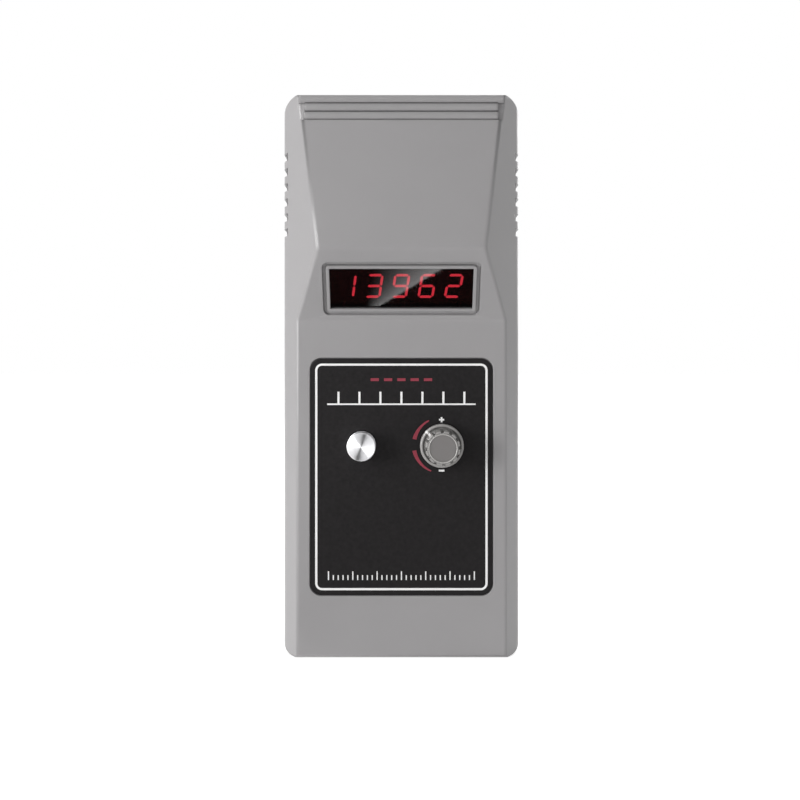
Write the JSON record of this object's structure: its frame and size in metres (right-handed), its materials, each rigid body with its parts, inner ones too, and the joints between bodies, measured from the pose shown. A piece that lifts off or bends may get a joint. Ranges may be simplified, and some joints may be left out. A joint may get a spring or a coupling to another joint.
{
  "type": "xenon stroboscope",
  "caption": "Hand-held mains xenon stroboscope: tilted digital readout, rate knob and power button on a black panel, flash tube in a trough reflector behind the end window.",
  "frame": {"origin": "centre of the mains inlet's mouth in the bottom end, in the joint plane between the two shells", "axes": "+Z along the case to the lamp end, +X to the right of someone facing the controls, the controls face -Y"},
  "size_m": [0.094, 0.0584, 0.22],
  "materials": {
    "case_grey": "fine satin moulding texture",
    "label_black": "fine-grained printed film",
    "knob_grey": "satin moulded",
    "cap_grey": "satin disc",
    "turned_aluminium": "spun face, bright",
    "aluminium": "turned",
    "smoked_filter": "tinted, glossy",
    "digit_black": "black face with red light wells",
    "board_green": "solder-masked laminate",
    "black_plastic": "moulded",
    "white_plastic": "moulded",
    "white_rubber": "silicone",
    "zinc_steel": "zinc plated",
    "plated_brass": "nickel plated",
    "core_steel": "laminated",
    "coil_tape": "wound with yellow tape",
    "capacitor_sleeve": "shrunk sleeve",
    "resistor_ceramic": "matt ceramic",
    "clear_glass": "clear",
    "clear_acrylic": "clear moulded",
    "bright_reflector": "polished sheet",
    "lead_red": "insulated wire",
    "lead_blue": "insulated wire",
    "ribbon_grey": "flat cable"
  },
  "bodies": {
    "case": {"front_shell": "case_grey", "back_shell": "case_grey", "case_screws": "zinc_steel", "display_screws": "zinc_steel", "board_screws": "zinc_steel", "lamp_board_screws": "zinc_steel", "label_plate": "label_black", "pot_body": "zinc_steel", "pot_bushing": "plated_brass", "pot_washer": "zinc_steel", "pot_nut": "plated_brass", "switch_body": "black_plastic", "display_filter": "smoked_filter", "display_board": "board_green", "main_board": "board_green", "lamp_board": "board_green", "transformer_core": "core_steel", "transformer_coil": "coil_tape", "logic_capacitor": "capacitor_sleeve", "regulator": "black_plastic", "quartz_crystal": "zinc_steel", "control_chip": "black_plastic", "fuse_glass": "clear_glass", "fuse_caps": "plated_brass", "fuse_clips": "plated_brass", "flash_capacitor": "capacitor_sleeve", "trigger_coil": "coil_tape", "charging_resistor": "resistor_ceramic", "lamp_window": "clear_acrylic", "reflector": "bright_reflector", "flash_tube": "clear_glass", "electrode_left": "plated_brass", "electrode_right": "plated_brass", "tube_holder_left": "white_rubber", "tube_holder_right": "white_rubber", "trigger_wire": "plated_brass", "mains_inlet": "black_plastic", "inlet_pins": "plated_brass", "mains_leads": "lead_blue", "supply_leads": "lead_red", "lamp_lead_left": "lead_red", "lamp_lead_right": "lead_blue", "trigger_lead": "lead_red", "display_ribbon": "ribbon_grey", "digit_1": "digit_black", "digit_2": "digit_black", "digit_3": "digit_black", "digit_4": "digit_black", "digit_5": "digit_black"},
    "knob": {"rate_knob": "knob_grey", "knob_cap": "cap_grey", "pot_shaft": "aluminium"},
    "button": {"power_button": "turned_aluminium", "switch_plunger": "white_plastic"}
  },
  "joints": [
    {"name": "rate_knob_turn", "type": "hinge", "parent": "case", "child": "knob", "pos_m": [0.0157, -0.03, 0.0832], "axis": [0, 1, 0], "range_deg": [-103, 197]},
    {"name": "power_button_push", "type": "slide", "parent": "case", "child": "button", "axis": [0, 1, 0], "range_m": [0, 0.003], "stiffness_N_per_m": 600, "springref_m": -0.001}
  ]
}
